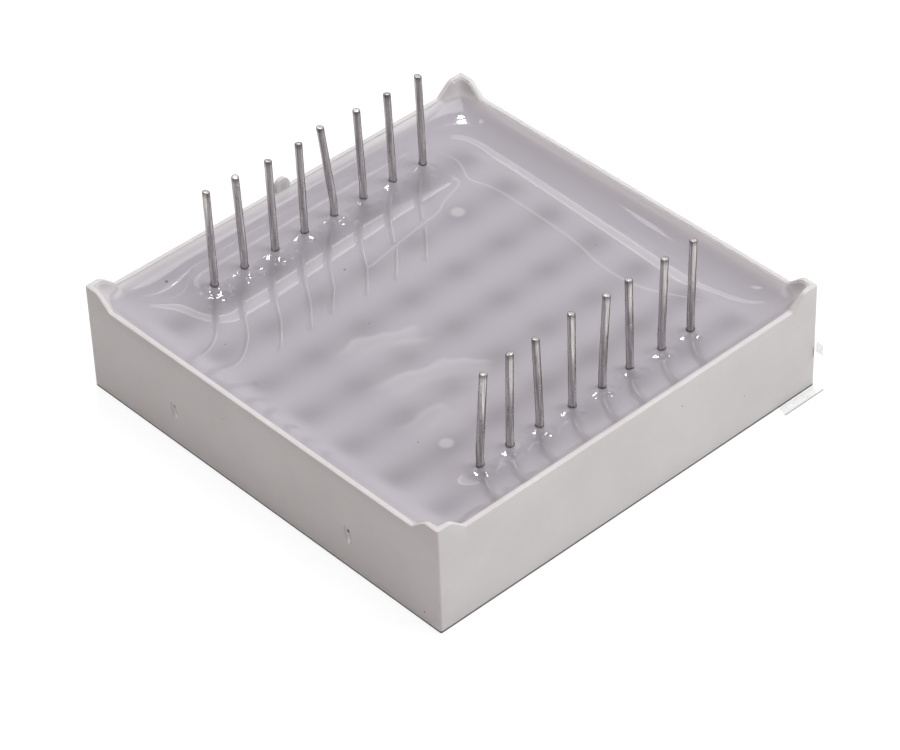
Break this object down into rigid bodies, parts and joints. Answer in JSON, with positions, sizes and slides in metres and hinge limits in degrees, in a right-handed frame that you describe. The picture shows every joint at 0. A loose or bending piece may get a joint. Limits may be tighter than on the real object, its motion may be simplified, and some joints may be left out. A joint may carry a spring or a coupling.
{
  "type": "led dot matrix display",
  "caption": "Square LED dot matrix display seen from its back: thin-walled white case filled with clear potting resin, with two rows of wire pins and a clear film on its face.",
  "frame": {"origin": "centre of the display face, where the middle webs between the dots cross, on the plastic and so 0.06 mm above the underside of its peel-off film", "axes": "+Z from the display face to the pins; +X along the two pin rows, towards pins 8 and 9; +Y from the row of pins 9 to 16 to the row of pins 1 to 8, towards the wall that carries the round-topped tab"},
  "size_m": [0.0321, 0.0328, 0.0135],
  "materials": {
    "case": "satin",
    "resin": "gloss",
    "dot_epoxy": "satin",
    "board": "matte",
    "die": "matte",
    "pin": "satin",
    "solder": "satin",
    "film": "gloss"
  },
  "bodies": {
    "root": {"reflector_housing": "case", "circuit_board": "board", "solder_joints": "solder", "potting_resin": "resin", "protective_film": "film", "film_scrap": "film", "led_dies_row_1": "die", "dot_epoxy_row_1": "dot_epoxy", "led_dies_row_2": "die", "dot_epoxy_row_2": "dot_epoxy", "led_dies_row_3": "die", "dot_epoxy_row_3": "dot_epoxy", "led_dies_row_4": "die", "dot_epoxy_row_4": "dot_epoxy", "led_dies_row_5": "die", "dot_epoxy_row_5": "dot_epoxy", "led_dies_row_6": "die", "dot_epoxy_row_6": "dot_epoxy", "led_dies_row_7": "die", "dot_epoxy_row_7": "dot_epoxy", "led_dies_row_8": "die", "dot_epoxy_row_8": "dot_epoxy", "pin_01": "pin", "pin_02": "pin", "pin_03": "pin", "pin_04": "pin", "pin_05": "pin", "pin_06": "pin", "pin_07": "pin", "pin_08": "pin", "pin_09": "pin", "pin_10": "pin", "pin_11": "pin", "pin_12": "pin", "pin_13": "pin", "pin_14": "pin", "pin_15": "pin", "pin_16": "pin"}
  },
  "joints": []
}
